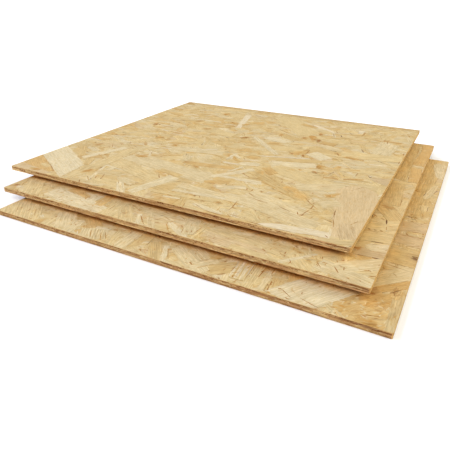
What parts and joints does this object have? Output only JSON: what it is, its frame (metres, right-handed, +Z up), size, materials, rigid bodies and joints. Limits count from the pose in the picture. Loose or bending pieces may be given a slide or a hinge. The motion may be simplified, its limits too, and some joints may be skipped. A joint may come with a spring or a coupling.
{
  "type": "stack of osb panels",
  "caption": "Fanned stack of square oriented strand board panels, each lower board set out to the right and forward, held apart by square offcut spacers.",
  "frame": {"origin": "centre of the whole stack's bounding box in plan, at the underside of the lowest board, on the floor", "axes": "+Z up, +X along the boards' front edges towards the side the stack is fanned to, +Y from the front edge to the back edge"},
  "size_m": [0.673, 0.695, 0.04],
  "materials": {
    "osb_panel": "pressed strand board, matte with a faint resin sheen, sawn edges",
    "osb_offcut": "pressed strand board offcut, matte, sawn edges"
  },
  "bodies": {
    "root": {"panel_bottom": "osb_panel", "panel_middle": "osb_panel", "panel_top": "osb_panel", "spacer_lower_1": "osb_offcut", "spacer_lower_2": "osb_offcut", "spacer_lower_3": "osb_offcut", "spacer_lower_4": "osb_offcut", "spacer_upper_1": "osb_offcut", "spacer_upper_2": "osb_offcut", "spacer_upper_3": "osb_offcut", "spacer_upper_4": "osb_offcut"}
  },
  "joints": []
}
